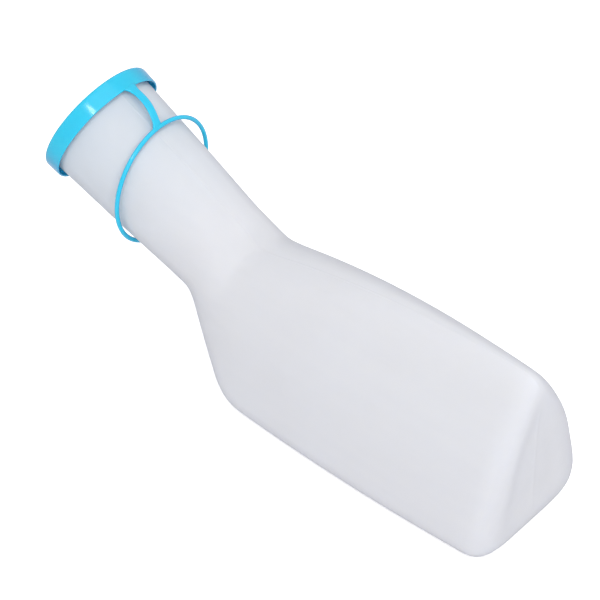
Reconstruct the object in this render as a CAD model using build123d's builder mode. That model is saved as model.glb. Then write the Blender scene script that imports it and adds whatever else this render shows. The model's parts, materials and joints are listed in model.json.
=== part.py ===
from build123d import *
from math import cos, pi, radians, sin
import os

# Urine bottle lying on its flat belly. Millimetres, +Z up, origin on the belly, midway along the body.
# The base end faces +X. The neck leaves the other end towards -X and leans upwards.
# Lid, strap and neck ring are one flexible moulding. It bends where the strap meets the lid, and is cut there.

# ---- bottle body ----
body_length = 151.4            # base face to the shoulder, along the top
base_x = 82.0                  # position of the flat base face
base_height = 91.5
shoulder_height = 71.9
crown = 6.7                    # how far the top line bows above a straight line
base_half_width = 28.0         # at half height
shoulder_half_width = 34.1     # at half height
side_bulge = 2.6               # how far the side lines bow outwards
base_lean = 0.43               # share by which a section widens to its foot and narrows to its top
shoulder_lean = 0.2
base_top_power = 1.8           # 2 is an ellipse, higher is squarer
shoulder_top_power = 2.37
foot_power = 5.0
base_round = 10.4              # rounding between the walls and the base face
belly_cut = 1.0                # how much of the round foot is cut off to make the belly flat
front_overhang = 1.8           # the belly reaches this far in front of the shoulder's top
shoulder_round = 10.3          # rounding where the body turns into the shoulder
shoulder_shares = (0.44, 0.64) # straight stretch of the shoulder, as shares of the way to the neck
shoulder_sag = 4.4             # how far the shoulder's top dips below a straight line
wall = 1.4

# ---- neck ----
neck_tilt = 23.3               # degrees above the belly plane
neck_length = 91.5
neck_root_x = -98.2            # centre of the circle where the neck begins
neck_root_z = 55.8
neck_root_radius = 24.5
neck_middle_radius = 26.9
neck_round = 9.1               # rounding where the shoulder turns into the neck
neck_start = 5.5               # the round neck takes over from the shoulder's form here
neck_lap = 3.0                 # and holds the end of that form inside itself
neck_step = 0.05               # how much the round neck stands proud of it
mouth_radius = 28.9
bead_radius = 29.5             # outside of the rolled rim round the mouth
bead_height = 3.2
bead_round = 1.1

# ---- lid ----
skirt_depth = 7.6              # skirt below the mouth plane
skirt_foot_radius = 31.3
skirt_top_radius = 31.6
skirt_foot_bore = 30.4
skirt_top_bore = 29.7
lid_gap = 0.1                  # underside of the lid above the rim
lid_top = 1.5                  # top of the lid above the mouth plane
lid_edge_round = 1.4
panel_radius = 24.0            # shallow panel in the lid's top
panel_slope = 1.5
panel_depth = 0.4

# ---- strap and neck ring ----
set_turn = 8.0                 # degrees that lid, strap and ring sit round the neck, towards +Y
strap_width = 4.6
strap_thickness = 1.2
bend_gap = 0.15                # free space between the lid and the strap's rounded end
bend_radius = 32.2             # distance of the bending line from the neck axis
ring_depth = 43.2              # ring's centre below the mouth plane
ring_radius = 31.4
ring_wire = 1.05
ring_tilt = 23.2               # the strap holds the ring's upper side nearer to the mouth
ring_shift_side = 1.9          # the loose ring hangs off centre
ring_shift_up = 0.3

around = 24                    # points on each closed section
knots = list(range(around + 1))
steps = 3                      # sections for each control station
overshoot = 6.0                # the hollow runs out past the mouth

neck_direction = Vector(-cos(radians(neck_tilt)), 0, sin(radians(neck_tilt)))
neck_up = Vector(sin(radians(neck_tilt)), 0, cos(radians(neck_tilt)))
sideways = Vector(0, 1, 0)
neck_root = Vector(neck_root_x, 0, neck_root_z)
mouth_centre = neck_root + neck_direction * neck_length
neck_axis = Axis(mouth_centre, neck_direction)
neck_plane = Plane(origin=neck_root, x_dir=neck_direction, z_dir=neck_direction.cross(neck_up))

# Lid, strap and ring share one plane of symmetry, which holds the neck axis.
outwards = neck_up * cos(radians(set_turn)) + sideways * sin(radians(set_turn))
set_plane = Plane(origin=mouth_centre, x_dir=outwards, z_dir=outwards.cross(neck_direction))


# ---- the hollow form, as a row of closed sections ----
def signed_power(value, exponent):
    """A power that keeps the sign of its base."""
    return abs(value) ** exponent * (1 if value >= 0 else -1)


def mix(*weighted):
    """The weighted sum of stations, from (weight, station) pairs."""
    return [sum(weight * station[i] for weight, station in weighted) for i in range(8)]


def body_station(share, inset, moved=0.0):
    """A body section at this share of the way from the base: top x, z, foot x, z, half width,
    lean, top power and foot power. It is drawn in by inset, and moved towards -X."""
    bow = 4 * share * (1 - share)
    height = base_height + (shoulder_height - base_height) * share + crown * bow
    half_width = base_half_width + (shoulder_half_width - base_half_width) * share + side_bulge * bow
    lean = base_lean + (shoulder_lean - base_lean) * share
    top_power = base_top_power + (shoulder_top_power - base_top_power) * share
    x = base_x - body_length * share - moved
    foot_x = x - front_overhang * share
    return [x, height - inset, foot_x, inset - belly_cut, half_width - inset, lean, top_power, foot_power]


def neck_station(distance, radius):
    """A round section at this distance along the neck."""
    centre = neck_root + neck_direction * distance
    top = centre + neck_up * radius
    foot = centre - neck_up * radius
    return [top.X, top.Z, foot.X, foot.Z, radius, 0, 2, 2]


def control_stations(inset):
    """The few stations that steer the body. Its form touches the line between two of them midway."""
    base_face = body_station(0, inset + base_round, inset)
    base_corner = body_station(0, inset, inset)
    body_shares = (2 * base_round / body_length, 0.4, 0.65, 1 - 2 * shoulder_round / body_length, 1)
    body = [body_station(share, inset) for share in body_shares]
    neck = [neck_station(along, neck_root_radius - inset) for along in (0, neck_round, neck_round + neck_lap)]
    shoulder = [mix((1 - share, body[-1]), (share, neck[0])) for share in shoulder_shares]
    for station in shoulder:
        station[1] -= shoulder_sag
    return [base_face, base_corner, *body, *shoulder, *neck]


def smooth_stations(controls):
    """Stations along the quadratic spline that the controls steer."""
    stations = []
    last = len(controls) - 2
    for i in range(1, last + 1):
        start = controls[0] if i == 1 else mix((0.5, controls[i - 1]), (0.5, controls[i]))
        end = controls[-1] if i == last else mix((0.5, controls[i]), (0.5, controls[i + 1]))
        for step in range(steps):
            t = step / steps
            stations.append(mix(((1 - t) ** 2, start), (2 * t * (1 - t), controls[i]), (t * t, end)))
    return [*stations, controls[-1]]


def section_plane(station):
    """The plane that holds a station's top and foot points, with its origin midway."""
    top_x, top_z, foot_x, foot_z = station[:4]
    middle = Vector((top_x + foot_x) / 2, 0, (top_z + foot_z) / 2)
    rise = Vector(top_x - foot_x, 0, top_z - foot_z)
    return Plane(origin=middle, x_dir=sideways, z_dir=sideways.cross(rise))


def section_points(station):
    """A leaning superellipse, starting at the top: round above, squarer at the foot."""
    top_x, top_z, foot_x, foot_z, half_width, lean, top_power, low_power = station
    half_height = Vector(top_x - foot_x, 0, top_z - foot_z).length / 2
    points = []
    for i in range(around):
        angle = 2 * pi * i / around
        power = top_power if cos(angle) >= 0 else low_power
        height = signed_power(cos(angle), 2 / power)
        across = signed_power(sin(angle), 2 / power)
        points.append(Vector(half_width * across * (1 - lean * height), half_height * height))
    return points


def draw_form(inset, neck_end):
    """The bottle's closed form, drawn in by inset, with a flat belly and a round neck of this length."""
    start_radius = neck_root_radius + neck_step - inset
    middle_radius = neck_middle_radius - inset
    end_radius = mouth_radius - inset
    bend = ((neck_round + neck_length / 2) / 2, (start_radius + middle_radius) / 2)
    with BuildPart() as form:
        for station in smooth_stations(control_stations(inset)):
            with BuildSketch(section_plane(station)):
                with BuildLine():
                    add(Edge.make_spline(section_points(station), periodic=True, parameters=knots))
                make_face()
        loft()
        split(bisect_by=Plane.XY.offset(inset), keep=Keep.TOP)
        with BuildSketch(neck_plane):
            with BuildLine():
                Line((neck_start, 0), (neck_start, start_radius))
                Bezier((neck_start, start_radius), (neck_round, start_radius), bend)
                Bezier(bend, (neck_length / 2, middle_radius), (neck_end, end_radius))
                Polyline((neck_end, end_radius), (neck_end, 0), (neck_start, 0))
            make_face()
        revolve(axis=neck_axis)
    return form


# ---- bottle: one blow-moulded wall with a rolled rim, open at the mouth ----
outer_form = draw_form(0, neck_length - bead_height / 2)
inner_form = draw_form(wall, neck_length + overshoot)

with BuildPart() as bottle:
    add(outer_form.part)
    with BuildSketch(set_plane):
        Rectangle(bead_radius, bead_height, align=(Align.MIN, Align.MAX))
        fillet(vertices().group_by(Axis.X)[-1], bead_round)
    revolve(axis=neck_axis)
    add(inner_form.part, mode=Mode.SUBTRACT)
bottle.part.label = "bottle"

# ---- lid: a round plate with a shallow panel, and a skirt whose bore widens to its foot ----
with BuildPart() as lid:
    with BuildSketch(set_plane):
        with BuildLine():
            Polyline(
                (0, lid_gap),
                (skirt_top_bore, lid_gap),
                (skirt_foot_bore, -skirt_depth),
                (skirt_foot_radius, -skirt_depth),
                (skirt_top_radius, lid_top),
                (panel_radius + panel_slope, lid_top),
                (panel_radius, lid_top - panel_depth),
                (0, lid_top - panel_depth),
                close=True,
            )
        make_face()
        fillet(vertices().group_by(Axis.Y)[-1].sort_by(Axis.X)[-1], lid_edge_round)
    revolve(axis=neck_axis)
lid.part.label = "lid"

# ---- neck ring: a round wire, tilted and off centre on the neck ----
ring_centre = mouth_centre - neck_direction * ring_depth + sideways * ring_shift_side + neck_up * ring_shift_up
ring_out = outwards * cos(radians(ring_tilt)) + neck_direction * sin(radians(ring_tilt))
ring_normal = neck_direction * cos(radians(ring_tilt)) - outwards * sin(radians(ring_tilt))
ring_plane = Plane(origin=ring_centre, x_dir=ring_out, z_dir=ring_normal)

with BuildPart() as neck_ring:
    with Locations(ring_plane):
        Torus(ring_radius, ring_wire)
neck_ring.part.label = "neck_ring"

# ---- strap: a flat band from the middle of the ring's wire to its rounded end at the bending line ----
ring_top = set_plane.to_local_coords(ring_centre + ring_out * ring_radius)
bend = Vector(bend_radius, -skirt_depth - bend_gap - strap_thickness / 2)
strap_foot = Vector(ring_top.X, ring_top.Y)
strap_run = bend - strap_foot
strap_along = strap_run.normalized()
strap_out = set_plane.x_dir * strap_along.Y - neck_direction * strap_along.X
strap_plane = Plane(origin=set_plane.from_local_coords(bend), x_dir=strap_out, z_dir=set_plane.z_dir)

with BuildPart() as strap:
    with BuildSketch(strap_plane):
        Circle(strap_thickness / 2)
        Rectangle(strap_thickness, strap_run.length, align=(Align.CENTER, Align.MAX))
    extrude(amount=strap_width / 2, both=True)
    add(neck_ring.part, mode=Mode.SUBTRACT)
strap.part.label = "strap"

os.makedirs("parts", exist_ok=True)
export_step(bottle.part, "parts/bottle.step")
export_step(lid.part, "parts/lid.step")
export_step(neck_ring.part, "parts/neck_ring.step")
export_step(strap.part, "parts/strap.step")
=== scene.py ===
import json
import math
import bpy
import numpy as np
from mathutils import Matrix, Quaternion, Vector


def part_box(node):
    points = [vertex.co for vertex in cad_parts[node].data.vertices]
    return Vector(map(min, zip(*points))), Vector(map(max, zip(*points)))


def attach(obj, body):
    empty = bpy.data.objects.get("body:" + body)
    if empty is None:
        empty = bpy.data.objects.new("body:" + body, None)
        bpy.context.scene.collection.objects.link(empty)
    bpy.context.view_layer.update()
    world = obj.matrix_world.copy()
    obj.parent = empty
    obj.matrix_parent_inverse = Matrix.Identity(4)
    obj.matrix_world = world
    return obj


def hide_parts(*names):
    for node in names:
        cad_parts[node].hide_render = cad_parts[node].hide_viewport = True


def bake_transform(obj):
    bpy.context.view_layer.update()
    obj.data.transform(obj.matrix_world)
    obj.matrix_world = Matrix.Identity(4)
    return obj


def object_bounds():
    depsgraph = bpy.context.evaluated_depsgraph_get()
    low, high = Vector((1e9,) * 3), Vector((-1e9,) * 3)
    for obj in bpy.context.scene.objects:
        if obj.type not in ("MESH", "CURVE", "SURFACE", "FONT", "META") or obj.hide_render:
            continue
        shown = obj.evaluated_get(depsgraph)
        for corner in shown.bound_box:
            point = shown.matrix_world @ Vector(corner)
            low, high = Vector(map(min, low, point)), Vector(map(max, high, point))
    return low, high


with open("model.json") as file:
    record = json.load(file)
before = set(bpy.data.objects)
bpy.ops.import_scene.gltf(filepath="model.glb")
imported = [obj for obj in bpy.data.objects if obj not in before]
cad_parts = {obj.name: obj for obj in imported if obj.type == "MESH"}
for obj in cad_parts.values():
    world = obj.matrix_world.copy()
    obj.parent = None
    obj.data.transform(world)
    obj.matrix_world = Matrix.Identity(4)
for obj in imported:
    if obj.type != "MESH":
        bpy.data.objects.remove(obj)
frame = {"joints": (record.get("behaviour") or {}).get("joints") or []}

# Looks for a urine bottle: milky blow-moulded bottle, blue lid with its strap and neck ring.
# Metres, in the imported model's own frame: +Z up, base end towards +X, neck towards -X.
cad_low, cad_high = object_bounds()
mm = 0.001

# ---- places taken from the frame ----
joints = {joint["name"]: joint for joint in frame["joints"]}


def unit(vector):
    """A vector's direction, as an array of length 1."""
    vector = np.array(vector, float)
    return vector / np.linalg.norm(vector)


mouth = np.array(joints["ring_turn"]["pos_m"])          # centre of the mouth
along = unit(joints["ring_turn"]["axis"])               # along the neck, out of the mouth
aside = unit(joints["lid_swing"]["axis"])               # across the strap, along its bending line
outward = np.cross(aside, along)                        # from the neck axis to the strap
neck_up = np.array([along[2], 0, -along[0]])            # from the neck axis to the parting line on top
base_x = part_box("bottle")[1].x


def on_set(out, rise, side=0.0):
    """A point given from the mouth: out towards the strap, rise along the neck axis, and to the side."""
    return mouth + outward * out + along * rise + aside * side


# ---- driving dimensions of the bottle ----
body_length = 151.4 * mm       # base face to the shoulder, along the top
base_height = 91.5 * mm
shoulder_height = 71.9 * mm
crown = 6.7 * mm               # how far the top line bows above a straight line
base_half_width = 28.0 * mm
shoulder_half_width = 34.1 * mm
side_bulge = 2.6 * mm          # how far the side lines bow outwards
base_lean, shoulder_lean = 0.43, 0.2   # shares by which a section widens to its foot
base_top_power, shoulder_top_power, foot_power = 1.8, 2.37, 5.0        # 2 is an ellipse, higher is squarer
base_round = 10.4 * mm         # rounding between the walls and the base face
belly_cut = 1.0 * mm           # how much of the round foot is pressed flat
front_overhang = 1.8 * mm      # the belly reaches this far in front of the shoulder's top
shoulder_round = 10.3 * mm     # rounding where the body turns into the shoulder
shoulder_shares = (0.44, 0.64) # straight stretch of the shoulder, as shares of the way to the neck
shoulder_sag = 4.4 * mm        # how far the shoulder dips below a straight line
wall = 1.4 * mm
neck_length = 91.5 * mm
neck_root_radius = 24.5 * mm
neck_middle_radius = 26.9 * mm
neck_round = 9.1 * mm          # rounding where the shoulder turns into the neck
mouth_radius = 28.9 * mm
bead_radius = 29.5 * mm        # rolled rim round the mouth
bead_height = 3.2 * mm
bead_round = 1.1 * mm
lip_round = 0.6 * mm           # rounding on the inside of the rim
neck_root = mouth - along * neck_length

seam_height = 0.16 * mm        # raised line where the mould halves met
seam_half_width = 0.35 * mm
seam_fade = 6.0 * mm           # it fades out over this length below the rim
seam_fade_rows = 6             # and over this many rings next to the base
weld_height = 0.15 * mm        # wider pinched weld across the base
weld_half_width = 0.9 * mm
weld_end, weld_fade = 0.9, 0.2 # shares of the way to the base's rim: where it ends, and its fade
dish_depth = 0.8 * mm          # hollow in the base face, inside its standing rim
dish_end, dish_slope = 0.97, 0.45      # where it ends, and its slope, as such shares
belly_ease = 0.9 * mm          # soft change from the walls to the flat belly

form_steps = 8                 # rings of the body for each control station
body_controls = 9.5            # control stations up to where the body's form gives way to the straight neck
neck_count = 30                # rings of the neck, outside and inside
neck_gap = 1.5 * mm            # from the body's last ring to the neck's first
bead_gap = 0.6 * mm            # from the neck's last ring to the rolled rim

# ---- driving dimensions of the lid, strap and ring ----
skirt_depth = 7.6 * mm         # skirt below the mouth's plane
skirt_foot_radius = 31.3 * mm
skirt_top_radius = 31.6 * mm
skirt_foot_bore = 30.4 * mm
skirt_top_bore = 29.7 * mm
snap_rise = -4.3 * mm          # bead inside the skirt, which snaps under the bottle's rim
snap_height = 0.4 * mm
snap_half_height = 0.55 * mm
lid_gap = 0.1 * mm             # underside of the lid above the rim
lid_top = 1.5 * mm             # top of the lid above the mouth's plane
lid_edge_round = 1.4 * mm
panel_radius = 24.0 * mm       # shallow panel in the lid's top
panel_slope = 1.5 * mm
panel_depth = 0.4 * mm
gate_radius = 1.5 * mm         # small mark in the panel's middle, flat on top
gate_height = 0.25 * mm
inner_corner = 0.5 * mm        # rounding where the skirt meets the plate
rib_radius = 20.7 * mm         # low rib under the plate
rib_half_width = 0.9 * mm
rib_height = 0.45 * mm
lid_columns = 192
ring_depth = 43.2 * mm         # ring's centre below the mouth's plane
ring_radius = 31.4 * mm
ring_wire = 1.05 * mm
ring_tilt = math.radians(23.2)
ring_shift_side = 1.9 * mm     # the loose ring hangs off centre
ring_shift_up = 0.3 * mm
strap_thickness = 1.2 * mm


# ---- mesh helpers ----
def make_object(name, points, faces, sharp_angle=40):
    """A smooth-shaded mesh object, with its sharp edges marked."""
    mesh = bpy.data.meshes.new(name)
    mesh.from_pydata([tuple(point) for point in points], [], faces)
    mesh.validate()
    mesh.shade_smooth()
    mesh.set_sharp_from_angle(angle=math.radians(sharp_angle))
    piece = bpy.data.objects.new(name, mesh)
    bpy.context.scene.collection.objects.link(piece)
    return piece


def tube_faces(rows, columns, closed=False):
    """Faces of a tube of rings in a row. A closed one joins the last ring to the first."""
    faces = []
    for row in range(rows if closed else rows - 1):
        here, there = row * columns, (row + 1) % rows * columns
        for i in range(columns):
            j = (i + 1) % columns
            faces.append((here + i, here + j, there + j, there + i))
    return faces


def capped_tube(name, rings, sharp_angle=40):
    """A closed solid from a row of rings of points, with a fan from each end ring to its middle."""
    rings = [np.array(ring) for ring in rings]
    count, columns = len(rings), len(rings[0])
    points = np.vstack([*rings, rings[0].mean(0), rings[-1].mean(0)])
    first, last = count * columns, count * columns + 1
    end = (count - 1) * columns
    faces = tube_faces(count, columns)
    for i in range(columns):
        j = (i + 1) % columns
        faces.append((first, j, i))
        faces.append((last, end + i, end + j))
    return make_object(name, points, faces, sharp_angle)


def arc(centre_out, centre_rise, radius, first, last, steps):
    """Points (out, rise) on an arc. Angle 0 points outwards and 90 points up the axis."""
    angles = np.radians(np.linspace(first, last, steps))
    return [(centre_out + radius * math.cos(a), centre_rise + radius * math.sin(a)) for a in angles]


def circle_round(out, rise, columns):
    """A circle about the neck axis, which starts at the strap's side."""
    turns = np.linspace(0, 2 * math.pi, columns, endpoint=False)
    return [on_set(out * math.cos(a), rise, out * math.sin(a)) for a in turns]


def stand_for(piece, node, material):
    """Lets a piece stand for a CAD node and material."""
    piece.data.materials.append(material)
    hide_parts(node)


def ease(value):
    """A smooth step from 0 to 1."""
    value = np.clip(value, 0, 1)
    return value * value * (3 - 2 * value)


# ---- bottle ----
def body_station(share, inset, moved=0.0):
    """A body section at this share of the way from the base: top x, z, foot x, z, half width,
    lean, top power and foot power. It is drawn in by inset, and moved towards -X."""
    bow = 4 * share * (1 - share)
    height = base_height + (shoulder_height - base_height) * share + crown * bow
    half_width = base_half_width + (shoulder_half_width - base_half_width) * share + side_bulge * bow
    lean = base_lean + (shoulder_lean - base_lean) * share
    top_power = base_top_power + (shoulder_top_power - base_top_power) * share
    x = base_x - body_length * share - moved
    foot_x = x - front_overhang * share
    station = [x, height - inset, foot_x, inset - belly_cut, half_width - inset, lean, top_power, foot_power]
    return np.array(station)


def neck_station(distance, radius):
    """A round section at this distance along the neck."""
    centre = neck_root + along * distance
    top, foot = centre + neck_up * radius, centre - neck_up * radius
    return np.array([top[0], top[2], foot[0], foot[2], radius, 0, 2, 2])


def form_stations(inset, steps):
    """Stations from the base face to the mouth, along a quadratic spline that a few controls steer."""
    shares = (2 * base_round / body_length, 0.4, 0.65, 1 - 2 * shoulder_round / body_length, 1)
    body = [body_station(share, inset) for share in shares]
    root = neck_station(0, neck_root_radius - inset)
    sag = np.array([0, shoulder_sag, 0, 0, 0, 0, 0, 0])
    controls = [
        body_station(0, inset + base_round, inset),
        body_station(0, inset, inset),
        *body,
        *[(1 - share) * body[-1] + share * root - sag for share in shoulder_shares],
        root,
        neck_station(neck_round, neck_root_radius - inset),
        neck_station(neck_length / 2, neck_middle_radius - inset),
        neck_station(neck_length, mouth_radius - inset),
    ]
    stations = []
    last = len(controls) - 2
    for i in range(1, last + 1):
        start = controls[0] if i == 1 else (controls[i - 1] + controls[i]) / 2
        end = controls[-1] if i == last else (controls[i] + controls[i + 1]) / 2
        for step in range(steps):
            t = step / steps
            stations.append((1 - t) ** 2 * start + 2 * t * (1 - t) * controls[i] + t * t * end)
    stations.append(controls[-1])
    return stations


seam_spots = np.array([0, 0.2, 0.4, 0.65, 1.0, 1.5]) * mm      # columns close to the parting line
flank_columns = 72
curve_samples = 721            # fine points that each half section is measured on


def column_places(length):
    """Distances along half a section, from its top to its foot, crowded at both parting lines."""
    gap = (length - 2 * seam_spots[-1]) / (flank_columns + 1)
    flank = seam_spots[-1] + gap * np.arange(1, flank_columns + 1)
    return np.concatenate([seam_spots, flank, length - seam_spots[::-1]])


def section_ring(station, floor, seam):
    """One closed section of the bottle, from its top round to its foot and back up the other side."""
    top = np.array([station[0], 0, station[1]])
    foot = np.array([station[2], 0, station[3]])
    half_width, lean, top_power, low_power = station[4:]
    turn = np.linspace(0, math.pi, curve_samples)
    cosine, sine = np.cos(turn), np.abs(np.sin(turn))
    power = np.where(cosine >= 0, top_power, low_power)
    height = np.sign(cosine) * np.abs(cosine) ** (2 / power)
    across = half_width * sine ** (2 / power) * (1 - lean * height)
    half_rise = (top - foot) / 2
    curve = (top + foot) / 2 + np.outer(height, half_rise) + np.outer(across, (0, 1, 0))
    travelled = np.concatenate([[0], np.cumsum(np.linalg.norm(np.diff(curve, axis=0), axis=1))])
    places = column_places(travelled[-1])
    half = np.stack([np.interp(places, travelled, curve[:, axis]) for axis in range(3)], axis=1)
    if seam:
        up = unit(half_rise)
        ridge = seam * np.exp(-((half[:, 1] / seam_half_width) ** 2))
        half += np.outer(ridge * np.where(places < travelled[-1] / 2, 1, -1), up)
    half[:, 2] = floor + soft_floor(half[:, 2] - floor)
    other = half[-2:0:-1] * np.array([1, -1, 1])
    return np.vstack([half, other])


def soft_floor(height):
    """Heights held at 0 or above, with a soft change over the last stretch."""
    eased = (height + belly_ease) ** 2 / (4 * belly_ease)
    return np.where(height > belly_ease, height, np.where(height < -belly_ease, 0, eased))


def base_rings(rim, outside):
    """Rings from the middle of the dished base face out to its rim. The outer face has a weld."""
    shares = (0.05, 0.12, 0.22, 0.34, 0.46, 0.58, 0.68, 0.76, 0.82, 0.87, 0.91, 0.94, dish_end)
    middle = rim.mean(0)
    rings = []
    for share in shares:
        ring = middle + share * (rim - middle)
        ring[:, 0] -= dish_depth * ease((dish_end - share) / dish_slope)
        if outside:
            fade = ease((weld_end - share) / weld_fade)
            ring[:, 0] += fade * weld_height * np.exp(-((ring[:, 1] / weld_half_width) ** 4))
        rings.append(ring)
    return rings


def neck_ring_points(distance, radius, seam=0.0):
    """A round section of the neck, with columns that match the body's sections."""
    return section_ring(neck_station(distance, radius), 0.0, seam)


def rim_profile():
    """Points (radius, rise) over the rolled rim, from the outside of the neck to its inside."""
    outside = arc(bead_radius - bead_round, bead_round - bead_height, bead_round, -80, 0, 7)
    shoulder = arc(bead_radius - bead_round, -bead_round, bead_round, 0, 90, 8)
    inner_radius = mouth_radius - wall
    lip = arc(inner_radius + lip_round, -lip_round, lip_round, 90, 180, 6)
    return outside + shoulder + lip


def neck_distance(station):
    """How far along the neck the middle of a station lies."""
    centre = np.array([station[0] + station[2], 0, station[1] + station[3]]) / 2
    return float((centre - neck_root) @ along)


def neck_rows(inset, start, end):
    """(distance, radius) pairs along the neck, from the same spline that steers the form."""
    fine = form_stations(inset, 3 * form_steps)
    lengths = [neck_distance(station) for station in fine]
    radii = [station[4] for station in fine]
    first = max(i for i, length in enumerate(lengths) if length <= neck_round / 2)
    distances = np.linspace(start, end, neck_count)
    return list(zip(distances, np.interp(distances, lengths[first:], radii[first:])))


def build_bottle():
    """The blow-moulded bottle: outer wall, rolled rim and inner wall as one closed surface."""
    body_rows = int(body_controls * form_steps)
    outer = form_stations(0, form_steps)[:body_rows]
    inner = form_stations(wall, form_steps)[:body_rows]
    first_outer = section_ring(outer[0], 0.0, 0.0)
    first_inner = section_ring(inner[0], wall, 0.0)
    neck_start = neck_distance(outer[-1]) + neck_gap
    bead_start = neck_length - bead_height - bead_gap
    rings = base_rings(first_outer, True)
    for i, station in enumerate(outer):
        rings.append(section_ring(station, 0.0, seam_height * float(ease(i / seam_fade_rows))))
    for distance, radius in neck_rows(0, neck_start, bead_start):
        fade = float(ease((bead_start - distance) / seam_fade))
        rings.append(neck_ring_points(distance, radius, seam_height * fade))
    for radius, rise in rim_profile():
        rings.append(neck_ring_points(neck_length + rise, radius))
    for distance, radius in reversed(neck_rows(wall, neck_start, neck_length - 2 * lip_round)):
        rings.append(neck_ring_points(distance, radius))
    for station in reversed(inner):
        rings.append(section_ring(station, wall, 0.0))
    rings += reversed(base_rings(first_inner, False))
    bottle = capped_tube("bottle_shell", rings, 50)
    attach(bottle, "bottle")
    stand_for(bottle, "bottle", milky_plastic())


# ---- lid ----
def lid_profile():
    """Points (radius, rise) of the lid's cut, from the middle of its top, over the skirt and back below."""
    floor = lid_top - panel_depth
    top = [(gate_radius * out, floor + gate_height * up) for out, up in ((0.6, 1), (0.8, 0.8), (1, 0))]
    top += [(share * panel_radius, floor) for share in (0.2, 0.4, 0.6, 0.8, 0.95)]
    for t in np.linspace(0, 1, 7):
        top.append((panel_radius + panel_slope * t, floor + panel_depth * float(ease(t))))
    top.append((panel_radius + 2 * panel_slope, lid_top))
    corner = skirt_top_radius - lid_edge_round
    top += arc(corner, lid_top - lid_edge_round, lid_edge_round, 90, 4, 9)
    foot_round = (skirt_foot_radius - skirt_foot_bore) / 2
    foot_centre = skirt_foot_radius - foot_round
    foot_rise = foot_round - skirt_depth
    skirt = []
    for t in np.linspace(0.12, 0.94, 9):
        rise = (1 - t) * (lid_top - lid_edge_round) + t * foot_rise
        skirt.append((skirt_top_radius + (skirt_foot_radius - skirt_top_radius) * t ** 1.25, rise))
    foot = arc(foot_centre, foot_rise, foot_round, 0, -180, 9)
    inside = []
    for t in np.linspace(0.05, 0.95, 19):
        rise = foot_rise * (1 - t)
        bore = skirt_foot_bore + (skirt_top_bore - skirt_foot_bore) * t
        snap = snap_height * math.exp(-(((rise - snap_rise) / snap_half_height) ** 2))
        inside.append((bore - snap, rise))
    under = arc(skirt_top_bore - inner_corner, lid_gap - inner_corner, inner_corner, 0, 90, 5)
    for across, down in ((3, 0), (2, 2), (1, 3), (-1, 3), (-2, 2), (-3, 0)):
        under.append((rib_radius + rib_half_width * across / 3, lid_gap - rib_height * down / 3))
    under += [(share * panel_radius, lid_gap) for share in (0.6, 0.4, 0.2, 0.05)]
    return top + skirt + foot + inside + under


def build_lid(material):
    """The press-on lid: a plate with a shallow panel, a skirt and a snap bead inside it."""
    rings = [circle_round(radius, rise, lid_columns) for radius, rise in lid_profile()]
    lid = capped_tube("lid_cap", rings, 50)
    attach(lid, "lid")
    stand_for(lid, "lid", material)


# ---- neck ring ----
ring_out = outward * math.cos(ring_tilt) + along * math.sin(ring_tilt)
ring_normal = along * math.cos(ring_tilt) - outward * math.sin(ring_tilt)
ring_centre = mouth - along * ring_depth + np.array([0, ring_shift_side, 0]) + neck_up * ring_shift_up


def on_ring(turn, radius=ring_radius, lift=0.0):
    """A point on the ring, at this angle from its highest point."""
    spoke = ring_out * math.cos(turn) + aside * math.sin(turn)
    return ring_centre + spoke * radius + ring_normal * lift


def build_ring(material):
    """The loose ring: a round wire with a fine parting line round its inside and outside."""
    around, wire_points = 240, 40
    flash_height = 0.05 * mm
    flash_width = 0.12                 # as a share of the wire's radius
    points = []
    for i in range(around):
        turn = 2 * math.pi * i / around
        for k in range(wire_points):
            a = 2 * math.pi * k / wire_points
            wire = ring_wire + flash_height * math.exp(-(math.sin(a) / flash_width) ** 2)
            points.append(on_ring(turn, ring_radius + wire * math.cos(a), wire * math.sin(a)))
    ring = make_object("neck_ring_loop", points, tube_faces(around, wire_points, closed=True))
    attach(ring, "neck_ring")
    stand_for(ring, "neck_ring", material)


# ---- strap ----
strap_foot_turn = -0.142               # where the strap stands on the ring, in radians from its top
strap_head = on_set(31.0 * mm, -6.9 * mm, 0.8 * mm)        # where it ends, in the skirt
foot_reach = unit(outward * 0.56 + along * 0.9 + aside * 0.14) * 10.7 * mm     # leaves the ring this way
head_reach = unit(outward * 0.14 - along) * 10.0 * mm + aside * 0.6 * mm       # leaves the lid this way
strap_half = 1.95 * mm                 # half its width at the ring
strap_taper = 0.15 * mm                # and this much more at the lid
foot_fillet, foot_fillet_length = 1.4 * mm, 1.7 * mm
head_fillet, head_fillet_length = 1.7 * mm, 2.4 * mm
thin_share, thin_length = 0.2, 1.2 * mm                    # its end thins to run into the skirt
strap_rings, strap_points = 97, 32


def strap_curve():
    """The strap's middle line from the ring to the lid, bowed away from the neck as a soft band hangs."""
    foot = on_ring(strap_foot_turn)
    t = np.linspace(0, 1, 241)[:, None]
    return ((1 - t) ** 3 * foot + 3 * t * (1 - t) ** 2 * (foot + foot_reach)
            + 3 * t * t * (1 - t) * (strap_head + head_reach) + t ** 3 * strap_head)


def strap_half_width(to_foot, to_head):
    """Half the strap's width: it widens to the lid, with a small fillet at each end."""
    plain = strap_half + strap_taper * to_foot / (to_foot + to_head)
    at_foot = foot_fillet * math.exp(-((to_foot / foot_fillet_length) ** 1.5))
    at_head = head_fillet * math.exp(-((to_head / head_fillet_length) ** 1.5))
    return plain + at_foot + at_head


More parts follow.
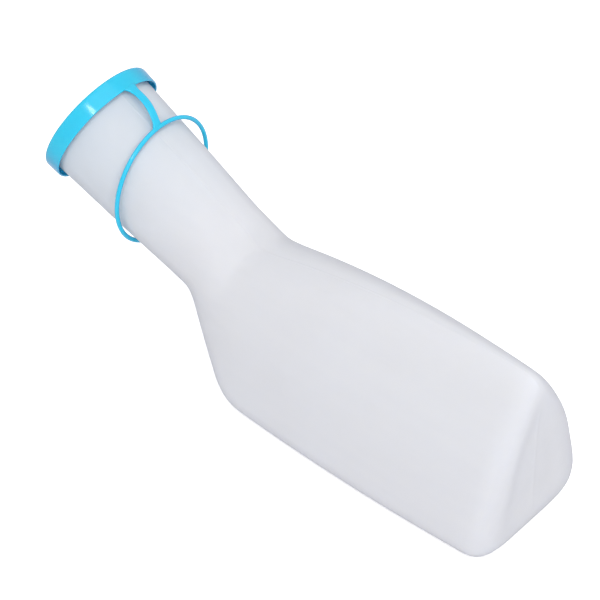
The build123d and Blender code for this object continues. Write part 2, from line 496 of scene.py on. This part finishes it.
def strap_ring(place, tangent, half_width, half_thickness):
    """A cross-section of the strap: a rounded band that follows the skirt's curve."""
    across = unit(aside - tangent * (aside @ tangent))
    face = np.cross(across, tangent)
    points = []
    for a in np.linspace(0, 2 * math.pi, strap_points, endpoint=False):
        wide = half_width * math.copysign(abs(math.cos(a)) ** 0.45, math.cos(a))
        thick = half_thickness * math.copysign(abs(math.sin(a)) ** 0.7, math.sin(a))
        sag = wide * wide / (2 * skirt_foot_radius)
        points.append(place + across * wide + face * thick - outward * sag)
    return points


def build_strap(material):
    """The strap: one soft band from the ring to the lid."""
    curve = strap_curve()
    steps = np.linalg.norm(np.diff(curve, axis=0), axis=1)
    travelled = np.concatenate([[0], np.cumsum(steps)])
    tangents = np.gradient(curve, axis=0)
    rings = []
    for length in np.linspace(0, travelled[-1], strap_rings):
        place = np.array([np.interp(length, travelled, curve[:, axis]) for axis in range(3)])
        tangent = unit([np.interp(length, travelled, tangents[:, axis]) for axis in range(3)])
        to_head = travelled[-1] - length
        thin = 1 - thin_share * float(ease(1 - to_head / thin_length))
        half_width = strap_half_width(length, to_head)
        rings.append(strap_ring(place, tangent, half_width, strap_thickness / 2 * thin))
    strap = capped_tube("strap_band", rings, 60)
    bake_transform(strap)
    stand_for(strap, "strap", material)


# ---- materials ----
class Graph:
    """A small helper that adds and links the nodes of one material."""

    def __init__(self, name):
        self.material = bpy.data.materials.new(name)
        self.material.use_nodes = True
        self.tree = self.material.node_tree
        self.shader = self.tree.nodes["Principled BSDF"]
        self.place = self.add("ShaderNodeTexCoord").outputs["Object"]

    def add(self, kind, **settings):
        """A new node. Settings named like its inputs set them, and the others set its properties."""
        node = self.tree.nodes.new(kind)
        for name, value in settings.items():
            label = name.replace("_", " ")
            if label in node.inputs:
                self.feed(value, node.inputs[label])
            else:
                setattr(node, name, value)
        return node

    def feed(self, value, socket):
        """Links an output to a socket, or writes a plain value into it."""
        if isinstance(value, bpy.types.NodeSocket):
            self.tree.links.new(value, socket)
        else:
            socket.default_value = value

    def noise(self, scale, detail=3.0, stretch=(1, 1, 1)):
        """A noise pattern in the object's own space. Stretch repeats it more often along an axis."""
        mapping = self.add("ShaderNodeMapping", Vector=self.place, Scale=stretch)
        texture = self.add("ShaderNodeTexNoise", Vector=mapping.outputs[0], Scale=scale, Detail=detail)
        return texture.outputs[0]

    def along_neck(self):
        """Distance along the neck axis, 0 at the mouth and negative towards the body."""
        offset = self.add("ShaderNodeVectorMath", operation="SUBTRACT")
        self.feed(self.place, offset.inputs[0])
        self.feed(tuple(mouth), offset.inputs[1])
        measure = self.add("ShaderNodeVectorMath", operation="DOT_PRODUCT")
        self.feed(offset.outputs[0], measure.inputs[0])
        self.feed(tuple(along), measure.inputs[1])
        return measure.outputs["Value"]

    def scaled(self, value, low, high, start=0.0, end=1.0):
        """A value taken from one range to another."""
        node = self.add("ShaderNodeMapRange", Value=value)
        for label, amount in (("From Min", start), ("From Max", end), ("To Min", low), ("To Max", high)):
            self.feed(amount, node.inputs[label])
        return node.outputs[0]

    def mixed(self, share, first, second):
        """A colour between two colours."""
        node = self.add("ShaderNodeMix", data_type="RGBA")
        self.feed(share, node.inputs["Factor"])
        self.feed(first, node.inputs[6])
        self.feed(second, node.inputs[7])
        return node.outputs[2]

    def settle(self, settings):
        """Sets the shader's inputs, each from an output or a plain value."""
        for label, value in settings.items():
            self.feed(value, self.shader.inputs[label])

    def glow_through(self, share, colour):
        """Lets this share of the light pass through the surface, in this colour."""
        glow = self.add("ShaderNodeBsdfTranslucent", Color=colour)
        blend = self.add("ShaderNodeMixShader")
        self.feed(share, blend.inputs[0])
        self.feed(self.shader.outputs[0], blend.inputs[1])
        self.feed(glow.outputs[0], blend.inputs[2])
        self.feed(blend.outputs[0], self.tree.nodes["Material Output"].inputs["Surface"])

    def bump(self, layers):
        """Bumps one on another, from (height, strength, depth in metres) layers."""
        normal = None
        for height, strength, depth in layers:
            node = self.add("ShaderNodeBump", Height=height, Strength=strength, Distance=depth)
            if normal is not None:
                self.feed(normal, node.inputs["Normal"])
            normal = node.outputs[0]
        self.feed(normal, self.shader.inputs["Normal"])


def milky_plastic():
    """Milky blow-moulded polyethylene: cloudy depth, uneven wall, painted blue light from the lid on the
    neck near it, and painted shade towards the silhouettes.
    """
    light, light_2 = (0.715, 0.725, 0.770, 1), (0.745, 0.750, 0.790, 1)
    thicker = (0.680, 0.690, 0.740, 1)
    # painted light: a blue glow on the neck that stands for the lid's light shining through the wall
    painted_lid_light = (0.560, 0.660, 0.755, 1)
    # painted shade: a darker colour towards the silhouettes
    painted_edge_shade = (0.420, 0.420, 0.470, 1)
    g = Graph("milky_plastic")
    cloud = g.noise(22.0, 2.0)
    flow = g.noise(60.0, 3.0, stretch=(0.15, 3.0, 3.0))
    grain = g.noise(1400.0, 2.0)
    scuff = g.noise(240.0, 6.0, stretch=(1.0, 6.0, 2.0))
    # mask for the painted shade, strongest where the surface turns away from the camera
    edge_shade_mask = g.add("ShaderNodeLayerWeight", Blend=0.35).outputs["Facing"]
    plain = g.mixed(g.scaled(cloud, 0, 1, 0.35, 0.65), light, light_2)
    drawn = g.mixed(g.scaled(flow, 0.0, 0.22, 0.4, 0.75), plain, thicker)
    # painted blue light from the lid, growing towards the mouth
    with_lid_light = g.mixed(g.scaled(g.along_neck(), 0.0, 0.5, -85 * mm, -5 * mm), drawn, painted_lid_light)
    g.settle({
        # painted shade towards the silhouettes
        "Base Color": g.mixed(g.scaled(edge_shade_mask, 0.0, 0.75, 0.40, 1.0), with_lid_light, painted_edge_shade),
        "Roughness": g.scaled(scuff, 0.40, 0.52, 0.3, 0.7),
        "Specular IOR Level": 0.2,
        "IOR": 1.5,
        "Subsurface Weight": 0.6,
        "Subsurface Radius": (1.0, 1.05, 1.2),
        "Subsurface Scale": 3.0 * mm,
    })
    g.bump([(cloud, 0.2, 0.5 * mm), (flow, 0.1, 0.1 * mm), (grain, 0.06, 0.05 * mm)])
    g.glow_through(g.scaled(cloud, 0.14, 0.20, 0.35, 0.65), (0.80, 0.81, 0.86, 1))
    return g.material


def blue_plastic():
    """Bright blue moulded soft polyethylene, semi-gloss, with a fine grain, slight flow shades and painted
    shade towards the silhouettes.
    """
    bright, bright_2 = (0.022, 0.590, 0.820, 1), (0.030, 0.630, 0.840, 1)
    # painted shade: a darker blue towards the silhouettes
    painted_edge_shade = (0.010, 0.215, 0.500, 1)
    g = Graph("blue_plastic")
    swirl = g.noise(90.0, 4.0)
    grain = g.noise(2600.0, 2.0)
    scuff = g.noise(500.0, 5.0, stretch=(1.0, 4.0, 2.0))
    # mask for the painted shade at the silhouettes
    edge_shade_mask = g.add("ShaderNodeLayerWeight", Blend=0.4).outputs["Facing"]
    plain = g.mixed(g.scaled(swirl, 0, 1, 0.3, 0.7), bright, bright_2)
    g.settle({
        # painted shade towards the silhouettes
        "Base Color": g.mixed(g.scaled(edge_shade_mask, 0.0, 0.9, 0.35, 0.95), plain, painted_edge_shade),
        "Roughness": g.scaled(scuff, 0.10, 0.17, 0.3, 0.7),
        "Specular IOR Level": 0.5,
        "Subsurface Weight": 0.35,
        "Subsurface Radius": (0.25, 1.0, 1.2),
        "Subsurface Scale": 1.0 * mm,
    })
    g.bump([(swirl, 0.04, 0.2 * mm), (grain, 0.03, 0.03 * mm)])
    g.glow_through(g.scaled(swirl, 0.20, 0.26, 0.35, 0.65), (0.10, 0.70, 0.95, 1))
    return g.material


def pale_floor():
    """Plain studio floor with a barely uneven tone. Only the camera sees its own faint glow."""
    g = Graph("pale_floor")
    tone = g.noise(3.0, 2.0)
    seen = g.add("ShaderNodeLightPath").outputs["Is Camera Ray"]
    g.settle({
        "Base Color": g.mixed(tone, (0.82, 0.82, 0.83, 1), (0.84, 0.84, 0.85, 1)),
        "Roughness": g.scaled(tone, 0.8, 0.95),
        "Specular IOR Level": 0.1,
        "Emission Color": (1, 1, 1, 1),
        "Emission Strength": g.scaled(seen, 0.0, 0.5),
    })
    return g.material


# ---- stage ----
def build_floor():
    """A wide pale floor just under the belly."""
    half = 3.0
    height = -0.02 * mm
    corners = [(x * half, y * half, height) for x, y in ((-1, -1), (1, -1), (1, 1), (-1, 1))]
    floor = make_object("floor", corners, [(0, 1, 2, 3)])
    floor.data.materials.append(pale_floor())


def soft_light(name, place, target, width, power):
    """A square soft light at a place, turned to a target."""
    data = bpy.data.lights.new(name, "AREA")
    data.size = width
    data.energy = power
    light = bpy.data.objects.new(name, data)
    light.location = place
    light.rotation_euler = (Vector(target) - Vector(place)).to_track_quat("-Z", "Y").to_euler()
    bpy.context.scene.collection.objects.link(light)


def build_lights():
    """An even white surround, a large key from above, a soft fill, and a small light for the lid's glint."""
    world = bpy.data.worlds.new("studio")
    bpy.context.scene.world = world
    world.use_nodes = True
    background = world.node_tree.nodes["Background"]
    background.inputs["Color"].default_value = (0.98, 0.985, 1.0, 1)
    background.inputs["Strength"].default_value = 0.90
    middle = tuple((np.array(cad_low) + np.array(cad_high)) / 2)
    soft_light("key", (0.30, 0.10, 1.25), middle, 1.0, 2.8)
    soft_light("fill", (1.05, -0.58, 0.75), middle, 0.9, 4.9)
    soft_light("lid_glint", tuple(mouth + np.array([0.23, -0.50, 0.84])), tuple(mouth), 0.17, 1.7)


def build_camera():
    """A long lens that looks down at the bottle from the side of its base end."""
    azimuth, elevation, roll = (math.radians(angle) for angle in (42.9, 43.32, -1.15))
    distance = 1102.3 * mm
    target = Vector((-54.5 * mm, 0, 53.7 * mm))
    back = Vector((
        math.sin(azimuth) * math.cos(elevation),
        -math.cos(azimuth) * math.cos(elevation),
        math.sin(elevation),
    ))
    data = bpy.data.cameras.new("camera")
    data.lens = 145.56
    data.sensor_width = 36.0
    camera = bpy.data.objects.new("camera", data)
    camera.location = target + back * distance
    camera.rotation_mode = "QUATERNION"
    turn = (-back).to_track_quat("-Z", "Y")
    turn.rotate(Quaternion(back, roll))
    camera.rotation_quaternion = turn
    bpy.context.scene.collection.objects.link(camera)
    bpy.context.scene.camera = camera


blue = blue_plastic()
build_bottle()
build_lid(blue)
build_ring(blue)
build_strap(blue)
build_floor()
build_lights()
build_camera()
bpy.context.scene.view_settings.view_transform = "Standard"
